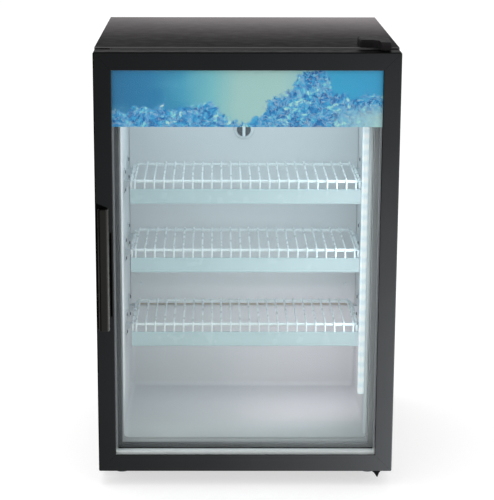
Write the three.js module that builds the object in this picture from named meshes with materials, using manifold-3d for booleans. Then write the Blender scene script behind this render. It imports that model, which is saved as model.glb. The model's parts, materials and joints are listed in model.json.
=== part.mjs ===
// A countertop glass door merchandiser: an insulated cabinet with a hinged double-glazed door,
// three wire shelves, a lamp, a thermostat, an evaporator with its fan, and a condensing unit.
// Millimetres. +Z is up, the door faces -Y, and the origin is the middle of the footprint.
import * as THREE from "three";
import { mergeVertices } from "three/addons/utils/BufferGeometryUtils.js";
import Module from "manifold-3d";

const wasm = await Module();
wasm.setup();

// ---- Driving dimensions ----
const WIDTH = 540;
const CABINET_DEPTH = 480;
const GASKET_SPACE = 10;
const DOOR_DEPTH = 40;
const HANDLE_REACH = 14;
const FOOT_HEIGHT = 25;
const CABINET_TOP = 806;
const COVER_TOP = 820;

const GAP = 0.3;
const SHEET = 1.2;
const LINER_WALL = 2;

const DEPTH = HANDLE_REACH + DOOR_DEPTH + GASKET_SPACE + CABINET_DEPTH;
const SIDE = WIDTH / 2;
const REAR = DEPTH / 2;
const DOOR_FRONT = HANDLE_REACH - REAR;
const DOOR_REAR = DOOR_FRONT + DOOR_DEPTH;
const CABINET_FRONT = DOOR_REAR + GASKET_SPACE;

// Door frame: four mitred bars around the glass unit
const DOOR_BOTTOM = 28;
const DOOR_TOP = 804;
const BAR_FACE = 32;
const BAR_SEAT = 22;
const LIP = 2.7;
const MITRE_GAP = 0.15;
const GLASS = 4;
const GLASS_OUT = SIDE - BAR_SEAT - 0.5;
const GLASS_LOW = DOOR_BOTTOM + BAR_SEAT + 0.5;
const GLASS_HIGH = DOOR_TOP - BAR_SEAT - 0.5;
const OPEN_X = SIDE - BAR_FACE;
const OPEN_LOW = DOOR_BOTTOM + BAR_FACE;
const OPEN_HIGH = DOOR_TOP - BAR_FACE;
const OUTER_PANE = DOOR_FRONT + LIP + GAP;
const FILM_FRONT = OUTER_PANE + GLASS + GAP;
const FILM = 0.5;
const SPACER_FRONT = FILM_FRONT + FILM + GAP;
const SPACER_DEPTH = 10.6;
const INNER_PANE = SPACER_FRONT + SPACER_DEPTH + GAP;
const SEAT_REAR = INNER_PANE + GLASS + GAP;
const BANNER_LOW = 671;

// Hinge axis, through the door's right end
const HINGE_X = 243;
const HINGE_Y = DOOR_FRONT + 17;
const PIN_RADIUS = 4;
const PIN_HOLE = 4.5;
const PIN_DEPTH = 14;

// Inside of the cabinet
const INSIDE_X = 226;
const FLOOR = 76;
const CEILING = 745;
const LINER_REAR = 215;
const STEP_Y = 92;
const STEP_Z = 250;
const FLANGE_X = 241.4;
const FLANGE_LOW = 56.4;
const FLANGE_HIGH = 773.6;
const COVER_Y = 87;

// Machine compartment behind and below the step
const MACHINE_Y = 125;
const MACHINE_Z = 235;

// Shelves: height of the top of the wires, and where the rods run
const SHELF_TOPS = { lower: 279, middle: 423, upper: 554 };
const SHELF_SIDE = 211;
const ROD = 6;
const WIRE = 3;
const WIRE_COUNT = 24;
const WIRE_PITCH = 17.75;
const SHELF_FRONT = -133;
const SHELF_REAR = 26;
const STRIP_DROP = 19;
const STRIP_HEIGHT = 28;
const STRIP_LOW = -STRIP_DROP - STRIP_HEIGHT;
const CLIP_YS = { front: -112, rear: 8 };

const KNOB_Z = 607;
const FAN_Z = 690;

// ---- Solids ----
function solid(geometry) {
  const plain = geometry.index ? geometry.clone() : geometry;
  plain.deleteAttribute("normal");
  plain.deleteAttribute("uv");
  const merged = mergeVertices(plain, 1e-4);
  const vertProperties = new Float32Array(merged.attributes.position.array);
  const triVerts = new Uint32Array(merged.index.array);
  return new wasm.Manifold(new wasm.Mesh({ numProp: 3, vertProperties, triVerts }));
}

function surface(manifold) {
  const mesh = manifold.getMesh();
  const geometry = new THREE.BufferGeometry();
  const positions = new Float32Array(mesh.vertProperties);
  geometry.setAttribute("position", new THREE.BufferAttribute(positions, 3));
  geometry.setIndex(new THREE.BufferAttribute(new Uint32Array(mesh.triVerts), 1));
  return geometry;
}

function join(first, ...others) {
  return surface(others.reduce((whole, next) => whole.add(solid(next)), solid(first)));
}

function cut(first, ...tools) {
  return surface(tools.reduce((whole, tool) => whole.subtract(solid(tool)), solid(first)));
}

function common(first, second) {
  return surface(solid(first).intersect(solid(second)));
}

function box(x0, x1, y0, y1, z0, z1) {
  const geometry = new THREE.BoxGeometry(x1 - x0, y1 - y0, z1 - z0);
  return geometry.translate((x0 + x1) / 2, (y0 + y1) / 2, (z0 + z1) / 2);
}

function outline(points) {
  return new THREE.Shape(points.map(([u, v]) => new THREE.Vector2(u, v)));
}

function roundedRectangle(u0, u1, v0, v1, r) {
  const shape = new THREE.Shape();
  shape.absarc(u1 - r, v0 + r, r, -Math.PI / 2, 0);
  shape.absarc(u1 - r, v1 - r, r, 0, Math.PI / 2);
  shape.absarc(u0 + r, v1 - r, r, Math.PI / 2, Math.PI);
  shape.absarc(u0 + r, v0 + r, r, Math.PI, 1.5 * Math.PI);
  return shape;
}

function extrude(shape, length, curveSegments = 4) {
  return new THREE.ExtrudeGeometry(shape, { depth: length, bevelEnabled: false, curveSegments });
}

// A shape drawn in plan (x, y), standing from z0 to z1
function standing(shape, z0, z1) {
  return extrude(shape, z1 - z0).translate(0, 0, z0);
}

// A shape drawn in side view (y, z), running from x0 to x1
function runningX(shape, x0, x1) {
  const basis = new THREE.Matrix4().makeBasis(
    new THREE.Vector3(0, 1, 0),
    new THREE.Vector3(0, 0, 1),
    new THREE.Vector3(1, 0, 0),
  );
  return extrude(shape, x1 - x0).applyMatrix4(basis).translate(x0, 0, 0);
}

// A shape drawn in front view (x, z), running from y0 to y1
function runningY(shape, y0, y1) {
  const basis = new THREE.Matrix4().makeBasis(
    new THREE.Vector3(1, 0, 0),
    new THREE.Vector3(0, 0, 1),
    new THREE.Vector3(0, -1, 0),
  );
  return extrude(shape, y1 - y0).applyMatrix4(basis).translate(0, y1, 0);
}

function post(x, y, z0, z1, radius, sides = 16) {
  const geometry = new THREE.CylinderGeometry(radius, radius, z1 - z0, sides);
  return geometry.rotateX(Math.PI / 2).translate(x, y, (z0 + z1) / 2);
}

function barrelY(x, z, y0, y1, radius, sides = 16) {
  const geometry = new THREE.CylinderGeometry(radius, radius, y1 - y0, sides);
  return geometry.translate(x, (y0 + y1) / 2, z);
}

function barrelX(y, z, x0, x1, radius, sides = 16) {
  const geometry = new THREE.CylinderGeometry(radius, radius, x1 - x0, sides);
  return geometry.rotateZ(Math.PI / 2).translate((x0 + x1) / 2, y, z);
}

function mirrorX(geometry) {
  const flipped = geometry.clone().scale(-1, 1, 1);
  const index = flipped.index.array;
  for (let i = 0; i < index.length; i += 3) {
    [index[i], index[i + 1]] = [index[i + 1], index[i]];
  }
  return flipped;
}

// ---- Materials ----
function paint(color, roughness, metalness = 0, extra = {}) {
  return new THREE.MeshStandardMaterial({ color, roughness, metalness, ...extra });
}

const blackSteel = paint(0x1b1c1e, 0.45, 0.3);
const blackPlastic = paint(0x141517, 0.4);
const whitePlastic = paint(0xdfe7ea, 0.45);
const foam = paint(0xe3d3a4, 0.95);
const whiteWire = paint(0xe9eff1, 0.35);
const aquaStrip = paint(0xbfdde0, 0.3);
const glass = paint(0xe8f4f4, 0.05, 0, { transparent: true, opacity: 0.25 });
const bannerPrint = paint(0x4f9fd0, 0.4);
const lampLight = paint(0xf4fbff, 0.4, 0, { emissive: 0xf4fbff });
const aluminium = paint(0xc9cdd0, 0.35, 0.9);
const zincSteel = paint(0x9fa4a8, 0.4, 0.8);
const copper = paint(0xb8734a, 0.35, 0.9);
const greyRubber = paint(0x2b2c2e, 0.8);
const satinBlack = paint(0x202124, 0.5, 0.2);

const merchandiser = new THREE.Group();

function add(name, geometry, material, group = merchandiser) {
  const mesh = new THREE.Mesh(geometry, material);
  mesh.name = name;
  group.add(mesh);
  return mesh;
}

// ---- Outer cabinet ----
const PANEL_TOP = CABINET_TOP - SHEET - GAP;
const FLANGE_EDGE = FLANGE_X + GAP;
const REAR_RETURN = 14;
const INNER_SIDE = SIDE - SHEET - GAP;

function sidePanel() {
  const plan = outline([
    [SIDE, CABINET_FRONT],
    [SIDE, REAR],
    [SIDE - REAR_RETURN, REAR],
    [SIDE - REAR_RETURN, REAR - SHEET],
    [SIDE - SHEET, REAR - SHEET],
    [SIDE - SHEET, CABINET_FRONT + SHEET],
    [FLANGE_EDGE, CABINET_FRONT + SHEET],
    [FLANGE_EDGE, CABINET_FRONT],
  ]);
  return join(standing(plan, FOOT_HEIGHT, PANEL_TOP));
}

function topPanel() {
  const edge = CABINET_TOP - SHEET;
  const plate = box(-SIDE, SIDE, CABINET_FRONT, REAR, edge, CABINET_TOP);
  const front = CABINET_FRONT + SHEET;
  const frontFlange = box(-FLANGE_X, FLANGE_X, CABINET_FRONT, front, FLANGE_HIGH + GAP, CABINET_TOP);
  const returnX = SIDE - REAR_RETURN - GAP;
  const rearFlange = box(-returnX, returnX, REAR - SHEET, REAR, 780, CABINET_TOP);
  return join(plate, frontFlange, rearFlange);
}

function backPanel() {
  const x = SIDE - REAR_RETURN - GAP;
  return join(box(-x, x, REAR - SHEET, REAR, MACHINE_Z + 1, 780 - GAP));
}

const FOOT_X = 232;
const FOOT_FRONT_Y = -176;
const FOOT_REAR_Y = 236;
const STUD_RADIUS = 4;
const STUD_HOLE = 4.5;
const STUD_TOP = 44;

function basePan() {
  const top = FOOT_HEIGHT + SHEET;
  const y0 = CABINET_FRONT + SHEET + GAP;
  const plate = box(-INNER_SIDE, INNER_SIDE, y0, REAR - SHEET - GAP, FOOT_HEIGHT, top);
  const front = CABINET_FRONT + SHEET;
  const sill = box(-FLANGE_X, FLANGE_X, CABINET_FRONT, front, FOOT_HEIGHT, FLANGE_LOW - GAP);
  const hem = box(-FLANGE_X, FLANGE_X, CABINET_FRONT, front + 4, FOOT_HEIGHT, top);
  const holes = [];
  for (const x of [-FOOT_X, FOOT_X]) {
    for (const y of [FOOT_FRONT_Y, FOOT_REAR_Y]) {
      holes.push(post(x, y, FOOT_HEIGHT - 1, top + 1, STUD_HOLE));
    }
  }
  return cut(join(plate, hem, sill), ...holes);
}

function machineDivider() {
  const z = MACHINE_Z - SHEET;
  const profile = outline([
    [MACHINE_Y, FOOT_HEIGHT + SHEET + GAP],
    [MACHINE_Y + SHEET, FOOT_HEIGHT + SHEET + GAP],
    [MACHINE_Y + SHEET, z],
    [REAR - SHEET - GAP, z],
    [REAR - SHEET - GAP, MACHINE_Z],
    [MACHINE_Y, MACHINE_Z],
  ]);
  return join(runningX(profile, -INNER_SIDE, INNER_SIDE));
}

const INLET = { x: 196, z: 196, halfX: 14, halfZ: 10 };
const SLOT_ROWS = 13;
const SLOT_PITCH = 12;
const SLOT_LOW = 50;

function rearGrille() {
  const x = SIDE - REAR_RETURN - GAP;
  const front = REAR - SHEET;
  const sheet = box(-x, x, front, REAR, FOOT_HEIGHT + SHEET + GAP, MACHINE_Z + 1 - GAP);
  const cuts = [];
  for (let row = 0; row < SLOT_ROWS; row += 1) {
    const z = SLOT_LOW + row * SLOT_PITCH;
    for (const centre of [-150, -30, 90]) {
      cuts.push(box(centre - 50, centre + 50, front - 1, REAR + 1, z, z + 5));
    }
  }
  const { x: ix, z: iz, halfX, halfZ } = INLET;
  cuts.push(box(ix - halfX, ix + halfX, front - 1, REAR + 1, iz - halfZ, iz + halfZ));
  return cut(sheet, ...cuts);
}

function powerInlet() {
  const { x, z, halfX, halfZ } = INLET;
  const rear = REAR - SHEET - GAP;
  const flange = box(x - halfX - 6, x + halfX + 6, rear - 4, rear, z - halfZ - 4, z + halfZ + 4);
  const body = box(x - halfX, x + halfX, rear - 24, rear - 1, z - halfZ, z + halfZ);
  const mouth = box(x - halfX + 2, x + halfX - 2, rear - 16, rear + 1, z - halfZ + 2, z + halfZ - 2);
  const pins = [-7, 0, 7].map((dx) => box(x + dx - 1, x + dx + 1, rear - 17, rear - 4, z - 2, z + 2));
  return join(cut(join(flange, body), mouth), ...pins);
}

add("side_panel_right", sidePanel(), blackSteel);
add("side_panel_left", mirrorX(sidePanel()), blackSteel);
add("top_panel", topPanel(), blackSteel);
add("back_panel", backPanel(), zincSteel);
add("base_pan", basePan(), blackSteel);
add("machine_divider", machineDivider(), zincSteel);
add("rear_grille", rearGrille(), blackSteel);
add("power_inlet", powerInlet(), blackPlastic);

// ---- Liner and insulation ----
// Side view of the food compartment, grown outwards by a margin
function compartmentProfile(margin, front) {
  return outline([
    [front, FLOOR - margin],
    [STEP_Y + margin, FLOOR - margin],
    [STEP_Y + margin, STEP_Z - margin],
    [LINER_REAR + margin, STEP_Z - margin],
    [LINER_REAR + margin, CEILING + margin],
    [front, CEILING + margin],
  ]);
}

function compartment(margin, front) {
  return runningX(compartmentProfile(margin, front), -INSIDE_X - margin, INSIDE_X + margin);
}

function innerLiner() {
  const rear = CABINET_FRONT + LINER_WALL;
  const flange = box(-FLANGE_X, FLANGE_X, CABINET_FRONT, rear, FLANGE_LOW, FLANGE_HIGH);
  const shell = join(flange, compartment(LINER_WALL, CABINET_FRONT + 0.5));
  return cut(shell, compartment(0, CABINET_FRONT - 1));
}

function insulation() {
  const front = CABINET_FRONT + LINER_WALL + GAP;
  const rear = REAR - SHEET - GAP;
  const low = FOOT_HEIGHT + SHEET + GAP;
  const profile = outline([
    [front, low],
    [MACHINE_Y - GAP, low],
    [MACHINE_Y - GAP, MACHINE_Z + GAP],
    [rear, MACHINE_Z + GAP],
    [rear, PANEL_TOP],
    [front, PANEL_TOP],
  ]);
  const block = runningX(profile, -INNER_SIDE, INNER_SIDE);
  const pocket = STUD_HOLE + 2;
  const studPockets = [-FOOT_X, FOOT_X].map((x) => post(x, FOOT_FRONT_Y, low - 1, STUD_TOP + 2, pocket));
  return cut(block, compartment(LINER_WALL + GAP, front - 1), ...studPockets);
}

add("inner_liner", innerLiner(), whitePlastic);
add("foam_insulation", insulation(), foam);

// ---- Evaporator, thermostat and lamp ----
const COVER_SHEET = 1.5;
const COVER_X = INSIDE_X - 2;
const COVER_LOW = STEP_Z + 4;
const COVER_HIGH = CEILING - 2;
const FAN_SLOTS = 4;
const FAN_SLOT_PITCH = 11;
const FAN_RADIUS = 50;

function evaporatorCover() {
  const rear = COVER_Y + COVER_SHEET;
  const plate = box(-COVER_X, COVER_X, COVER_Y, rear, COVER_LOW, COVER_HIGH);
  const cuts = [barrelY(0, KNOB_Z, COVER_Y - 1, rear + 1, 5)];
  for (let row = -FAN_SLOTS; row <= FAN_SLOTS; row += 1) {
    const z = FAN_Z + row * FAN_SLOT_PITCH;
    const half = Math.sqrt(FAN_RADIUS ** 2 - (row * FAN_SLOT_PITCH) ** 2);
    cuts.push(box(-half, half, COVER_Y - 1, rear + 1, z - 3, z + 3));
  }
  return cut(plate, ...cuts);
}

// Comb of cooling fins on a spine, standing from z0 to z1
function finComb(x0, x1, y0, y1, z0, z1, fins, spine) {
  const pitch = (x1 - x0 - 1) / (fins - 1);
  const points = [[x1, y1 - spine], [x1, y1], [x0, y1]];
  for (let i = 0; i < fins; i += 1) {
    const x = x0 + i * pitch;
    points.push([x, y0], [x + 1, y0]);
    if (i < fins - 1) {
      points.push([x + 1, y1 - spine], [x + pitch, y1 - spine]);
    }
  }
  return standing(outline(points), z0, z1);
}

// The block of fins, with the tube ends and their return bends standing out at each side
function evaporatorCoil() {
  const half = 180;
  const lowRow = 327;
  const rowPitch = 55;
  const parts = [];
  for (let row = 0; row < 4; row += 1) {
    const z = lowRow + row * rowPitch;
    parts.push(barrelX(145, z, half - 0.5, half + 12, 5, 8));
    parts.push(barrelX(145, z, -half - 12, -half + 0.5, 5, 8));
  }
  for (let row = 0; row < 3; row += 1) {
    const z = lowRow + row * rowPitch;
    const x = row % 2 === 0 ? half + 8 : -half - 8;
    parts.push(post(x, 145, z, z + rowPitch, 4, 8));
  }
  return join(finComb(-half, half, 125, 190, 300, 520, 31, 6), ...parts);
}

function bladeRing(hubRadius, tipRadius, blades, hubLength, boreRadius, boreDepth) {
  const hub = new THREE.LatheGeometry(
    [[0, 0], [hubRadius, 0], [hubRadius, hubLength], [boreRadius, hubLength],
      [boreRadius, hubLength - boreDepth], [0, hubLength - boreDepth]]
      .map(([r, h]) => new THREE.Vector2(r, h)),
    16,
  );
  const parts = [];
  for (let i = 0; i < blades; i += 1) {
    const blade = box(hubRadius - 2, tipRadius, -1, 1, -hubRadius * 0.75, hubRadius * 0.75);
    blade.rotateX(0.55).translate(0, hubLength / 2, 0);
    parts.push(blade.rotateY((i * 2 * Math.PI) / blades));
  }
  return join(hub, ...parts);
}

const EVAP_BLADE_Y = 94;
const EVAP_HUB = 14;
const SHAFT_RADIUS = 2.5;
const BORE_RADIUS = 3;

function evaporatorFanMotor() {
  const barY = EVAP_BLADE_Y + EVAP_HUB + 4;
  const can = barrelY(0, FAN_Z, barY + 1, barY + 32, 20);
  const shaft = barrelY(0, FAN_Z, EVAP_BLADE_Y + EVAP_HUB - 6, barY + 4, SHAFT_RADIUS);
  const bar = box(-66, 66, barY, barY + 3, FAN_Z - 8, FAN_Z + 8);
  const legY = COVER_Y + COVER_SHEET + GAP;
  const legs = [-66, 62].map((x) => box(x, x + 4, legY, barY + 1, FAN_Z - 8, FAN_Z + 8));
  return join(can, shaft, bar, ...legs);
}

function evaporatorFanBlade() {
  return bladeRing(12, 46, 5, EVAP_HUB, BORE_RADIUS, 8);
}

const KNOB_RADIUS = 19;
const KNOB_DEPTH = 14;
const KNOB_REAR = COVER_Y - 1;

function thermostatBody() {
  const front = COVER_Y + COVER_SHEET + GAP;
  const block = box(-22, 22, front, front + 30, KNOB_Z - 20, KNOB_Z + 20);
  const shaft = barrelY(0, KNOB_Z, KNOB_REAR - 6, front + 1, 3);
  return join(block, shaft);
}

function thermostatKnob() {
  const profile = [[0, 0], [KNOB_RADIUS - 2, 0], [KNOB_RADIUS, 3], [KNOB_RADIUS, KNOB_DEPTH - 4],
    [3.5, KNOB_DEPTH - 4], [3.5, 3.5], [0, 3.5]];
  const disc = new THREE.LatheGeometry(profile.map(([r, h]) => new THREE.Vector2(r, h)), 24);
  const grip = box(-3, 3, -4, 1, -KNOB_RADIUS + 1, KNOB_RADIUS - 1);
  return join(disc, grip);
}

const LAMP_LOW = 158;
const LAMP_HIGH = 700;
const LAMP_Y = -199;
const LAMP_WIDTH = 15;
const LAMP_BACK = 4.5;
const LAMP_PROUD = 11;

function lampHousing() {
  const x1 = INSIDE_X - GAP;
  const x0 = x1 - LAMP_BACK;
  const channel = outline([
    [x0, LAMP_Y],
    [x1, LAMP_Y],
    [x1, LAMP_Y + LAMP_WIDTH],
    [x0, LAMP_Y + LAMP_WIDTH],
    [x0, LAMP_Y + LAMP_WIDTH - 1.5],
    [x1 - 1.5, LAMP_Y + LAMP_WIDTH - 1.5],
    [x1 - 1.5, LAMP_Y + 1.5],
    [x0, LAMP_Y + 1.5],
  ]);
  return join(standing(channel, FLOOR + 3, CEILING - 3));
}

function lampDiffuser() {
  const x1 = INSIDE_X - GAP - LAMP_BACK - GAP;
  const shape = roundedRectangle(x1 - LAMP_PROUD, x1, LAMP_Y, LAMP_Y + LAMP_WIDTH, 3.4);
  return join(standing(shape, LAMP_LOW, LAMP_HIGH));
}

add("evaporator_cover", evaporatorCover(), whitePlastic);
add("evaporator_coil", evaporatorCoil(), aluminium);
add("evaporator_fan_motor", evaporatorFanMotor(), satinBlack);
add("evaporator_fan_blade", evaporatorFanBlade(), blackPlastic).position.set(0, EVAP_BLADE_Y, FAN_Z);
add("thermostat_body", thermostatBody(), whitePlastic);
add("thermostat_knob", thermostatKnob(), whitePlastic)
  .position.set(0, KNOB_REAR - KNOB_DEPTH + 4, KNOB_Z);
add("lamp_housing", lampHousing(), whitePlastic);
add("lamp_diffuser", lampDiffuser(), lampLight);

// ---- Shelves, price strips and clips ----
function shelf() {
  const rodTop = -WIRE;
  const low = STRIP_LOW + 2;
  const half = ROD / 2;
  const parts = [];
  for (const y of [SHELF_FRONT, SHELF_REAR]) {
    parts.push(box(-SHELF_SIDE - half, SHELF_SIDE + half, y - half, y + half, rodTop - ROD, rodTop));
  }
  for (const x of [-SHELF_SIDE, SHELF_SIDE]) {
    parts.push(box(x - half, x + half, SHELF_FRONT, SHELF_REAR, rodTop - ROD, rodTop));
    parts.push(box(x - half, x + half, SHELF_FRONT - half, SHELF_FRONT + half, low, rodTop));
  }
  parts.push(box(-SHELF_SIDE, SHELF_SIDE, SHELF_FRONT - half, SHELF_FRONT + half, low, low + 5));
  for (let i = 0; i < WIRE_COUNT; i += 1) {
    const x = (i - (WIRE_COUNT - 1) / 2) * WIRE_PITCH;
    const y0 = SHELF_FRONT - half;
    parts.push(box(x - WIRE / 2, x + WIRE / 2, y0, SHELF_REAR + half, -WIRE - 0.4, 0));
  }
  return join(...parts);
}

function priceStrip() {
  const rear = SHELF_FRONT - ROD / 2 - GAP;
  const front = rear - 3.2;
  const wall = 1.2;
  const profile = outline([
    [front, STRIP_LOW],
    [rear, STRIP_LOW],
    [rear, STRIP_LOW + wall],
    [front + wall, STRIP_LOW + wall],
    [front + wall, -STRIP_DROP - wall],
    [rear, -STRIP_DROP - wall],
    [rear, -STRIP_DROP],
    [front, -STRIP_DROP],
  ]);
  return join(runningX(profile, -SHELF_SIDE - 2, SHELF_SIDE + 2));
}

function shelfClip() {
  const wall = INSIDE_X - GAP;
  const ledge = -WIRE - ROD - GAP;
  const inner = SHELF_SIDE - ROD / 2 - 1;
  const profile = outline([
    [wall, ledge - 22],
    [wall, 14],
    [wall - 4, 14],
    [wall - 4, ledge],
    [inner, ledge],
    [inner, ledge - 4],
    [wall - 4, ledge - 18],
    [wall - 4, ledge - 22],
  ]);
  return join(runningY(profile, -8, 8));
}

for (const [level, top] of Object.entries(SHELF_TOPS)) {
  const tier = new THREE.Group();
  tier.position.z = top;
  merchandiser.add(tier);
  add(`shelf_${level}`, shelf(), whiteWire, tier);
  add(`price_strip_${level}`, priceStrip(), aquaStrip, tier);
  for (const [place, y] of Object.entries(CLIP_YS)) {
    add(`shelf_clip_${level}_${place}_right`, shelfClip(), whitePlastic, tier).position.y = y;
    add(`shelf_clip_${level}_${place}_left`, mirrorX(shelfClip()), whitePlastic, tier).position.y = y;
  }
}

// ---- Condensing unit ----
const DECK = FOOT_HEIGHT + SHEET + GAP;
const UNIT_Y = (MACHINE_Y + REAR) / 2;

function compressor() {
  const profile = [[0, 0], [52, 0], [58, 10], [60, 40], [62, 44], [62, 50], [60, 54], [58, 120],
    [46, 142], [24, 150], [0, 152]];
  const shell = new THREE.LatheGeometry(profile.map(([r, h]) => new THREE.Vector2(r, h)), 20);
  shell.rotateX(Math.PI / 2).scale(1.15, 0.95, 1).translate(30, UNIT_Y, DECK + 14);
  const plate = box(-50, 110, UNIT_Y - 45, UNIT_Y + 45, DECK + 10, DECK + 13);
  const seat = post(30, UNIT_Y, DECK + 11, DECK + 20, 45);
  const studs = [];
  for (const x of [-44, 104]) {
    for (const y of [UNIT_Y - 38, UNIT_Y + 38]) {
      studs.push(post(x, y, DECK, DECK + 11, 7, 10));
    }
  }
  return join(shell, plate, seat, ...studs);
}

function condenserCoil() {
  const comb = finComb(-UNIT_Y - 60, -UNIT_Y + 60, -242, -192, DECK + 4, DECK + 164, 21, 5);
  comb.rotateZ(-Math.PI / 2);
  const feet = box(-250, -186, UNIT_Y - 60, UNIT_Y + 60, DECK, DECK + 5);
  return join(comb, feet);
}

const COND_FAN_X = -152;
const COND_FAN_Z = DECK + 88;
const COND_HUB = 16;

function condenserFanMotor() {
  const ringX = -180;
  const plate = box(ringX, ringX + 3, UNIT_Y - 64, UNIT_Y + 64, DECK, DECK + 168);
  const shroud = cut(plate, barrelX(UNIT_Y, COND_FAN_Z, ringX - 1, ringX + 4, 58, 28));
  const foot = box(ringX, -100, UNIT_Y - 20, UNIT_Y + 20, DECK, DECK + 3);
  const stem = box(-118, -114, UNIT_Y - 20, UNIT_Y + 20, DECK, COND_FAN_Z);
  const can = barrelX(UNIT_Y, COND_FAN_Z, -118, -88, 26);
  const shaft = barrelX(UNIT_Y, COND_FAN_Z, COND_FAN_X + 8, -116, SHAFT_RADIUS);
  return join(shroud, foot, stem, can, shaft);
}

function condenserFanBlade() {
  return bladeRing(14, 52, 5, COND_HUB, BORE_RADIUS, 8).rotateZ(-Math.PI / 2);
}

function filterDrier() {
  const profile = [[0, 0], [4, 0], [4, 8], [11, 16], [11, 92], [4, 100], [4, 110], [0, 110]];
  const can = new THREE.LatheGeometry(profile.map(([r, h]) => new THREE.Vector2(r, h)), 12);
  return join(can.rotateX(Math.PI / 2));
}

function condensatePan() {
  const x0 = 134;
  const x1 = 254;
  const outer = roundedRectangle(x0, x1, MACHINE_Y + 12, REAR - 14, 8);
  const inner = roundedRectangle(x0 + 2, x1 - 2, MACHINE_Y + 14, REAR - 16, 6);
  return cut(standing(outer, DECK, DECK + 28), standing(inner, DECK + 2, DECK + 30));
}

add("compressor", compressor(), satinBlack);
add("condenser_coil", condenserCoil(), aluminium);
add("condenser_fan_motor", condenserFanMotor(), zincSteel);
add("condenser_fan_blade", condenserFanBlade(), aluminium).position.set(COND_FAN_X, UNIT_Y, COND_FAN_Z);
add("filter_drier", filterDrier(), copper).position.set(120, MACHINE_Y + 16, DECK + 60);
add("condensate_pan", condensatePan(), blackPlastic);

// ---- Door ----
const CHAMFER = 10;

// Section of a frame bar: u is the distance in from the door's outer edge, y the depth
const BAR_SECTION = [
  [0, DOOR_FRONT],
  [0, DOOR_REAR],
  [BAR_FACE, DOOR_REAR],
  [BAR_FACE, SEAT_REAR],
  [BAR_SEAT, SEAT_REAR],
  [BAR_SEAT, DOOR_FRONT + LIP],
  [BAR_FACE, DOOR_FRONT + LIP],
  [BAR_FACE, DOOR_FRONT],
];

// The corner taken off the hinge side's rear edge, so that it clears the cabinet as the door opens
function hingeCorner() {
  const corner = outline([
    [SIDE - CHAMFER - 1, DOOR_REAR + 1],
    [SIDE + 1, DOOR_REAR - CHAMFER - 1],
    [SIDE + 1, DOOR_REAR + 1],
  ]);
  return standing(corner, DOOR_BOTTOM - 1, DOOR_TOP + 1);
}

function mitreMask(points) {
  return runningY(outline(points), DOOR_FRONT - 1, DOOR_REAR + 1);
}

function stile() {
  const plan = outline(BAR_SECTION.map(([u, y]) => [SIDE - u, y]));
  const bar = standing(plan, DOOR_BOTTOM, DOOR_TOP);
  const out = SIDE + 2;
  const reach = SIDE - BAR_FACE - 2;
  const gap = MITRE_GAP;
  return common(bar, mitreMask([
    [out, DOOR_BOTTOM - 2 + gap],
    [out, DOOR_TOP + 2 - gap],
    [reach, DOOR_TOP - BAR_FACE - 2 - gap],
    [reach, DOOR_BOTTOM + BAR_FACE + 2 + gap],
  ]));
}

function rail(top) {
  const edge = top ? DOOR_TOP : DOOR_BOTTOM;
  const inward = top ? -1 : 1;
  const profile = outline(BAR_SECTION.map(([u, y]) => [y, edge + inward * u]));
  const bar = runningX(profile, -SIDE, SIDE);
  const reach = BAR_FACE + 2;
  const mask = [
    [-SIDE - 2 + MITRE_GAP, edge - inward * 2],
    [SIDE + 2 - MITRE_GAP, edge - inward * 2],
    [SIDE - reach - MITRE_GAP, edge + inward * reach],
    [-SIDE + reach + MITRE_GAP, edge + inward * reach],
  ];
  const shaped = common(bar, mitreMask(top ? mask.reverse() : mask));
  const z0 = top ? DOOR_TOP - PIN_DEPTH - 2 : DOOR_BOTTOM - 1;
  const z1 = top ? DOOR_TOP + 1 : DOOR_BOTTOM + PIN_DEPTH + 2;
  return cut(shaped, post(HINGE_X, HINGE_Y, z0, z1, PIN_HOLE), hingeCorner());
}

const SLOT_LEFT = 25;
const SLOT_WIDTH = 4;
const SLOT_BOTTOM = 325;
const SLOT_TOP = 481;

function leftStile() {
  const x0 = -SIDE + SLOT_LEFT;
  const slot = box(x0, x0 + SLOT_WIDTH, DOOR_FRONT - 1, DOOR_FRONT + 1.5, SLOT_BOTTOM, SLOT_TOP);
  return cut(mirrorX(stile()), slot);
}

function pane(front, thickness, low) {
  return join(box(-GLASS_OUT, GLASS_OUT, front, front + thickness, low, GLASS_HIGH));
}

function ring(x, low, high, innerX, innerLow, innerHigh, y0, y1) {
  return cut(box(-x, x, y0, y1, low, high), box(-innerX, innerX, y0 - 1, y1 + 1, innerLow, innerHigh));
}

const SPACER_SHOWS = 2.5;
const SPACER_SHOWS_LOW = 5.5;

function spacer() {
  const x = OPEN_X - SPACER_SHOWS;
  const low = OPEN_LOW + SPACER_SHOWS_LOW;
  const high = OPEN_HIGH - SPACER_SHOWS;
  const rear = SPACER_FRONT + SPACER_DEPTH;
  return ring(GLASS_OUT, GLASS_LOW, GLASS_HIGH, x, low, high, SPACER_FRONT, rear);
}

function gasket() {
  const inner = INSIDE_X + 2;
  const low = FLOOR - 7.5;
  const high = OPEN_HIGH;
  const mid = CABINET_FRONT - 2.5;
  const rear = CABINET_FRONT - 0.5;
  const base = ring(250, OPEN_LOW - 12, high + 12, inner, low, high, DOOR_REAR + GAP, mid);
  const face = ring(248, OPEN_LOW - 10, high + 10, inner, low, high, mid - 0.5, rear);
  return join(base, face);
}

const HANDLE_LOW = 301;
const HANDLE_HIGH = 526;
const HANDLE_LEFT = 5.3;
const HANDLE_RIGHT = 24.4;
const HANDLE_WALL = 3;

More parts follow.
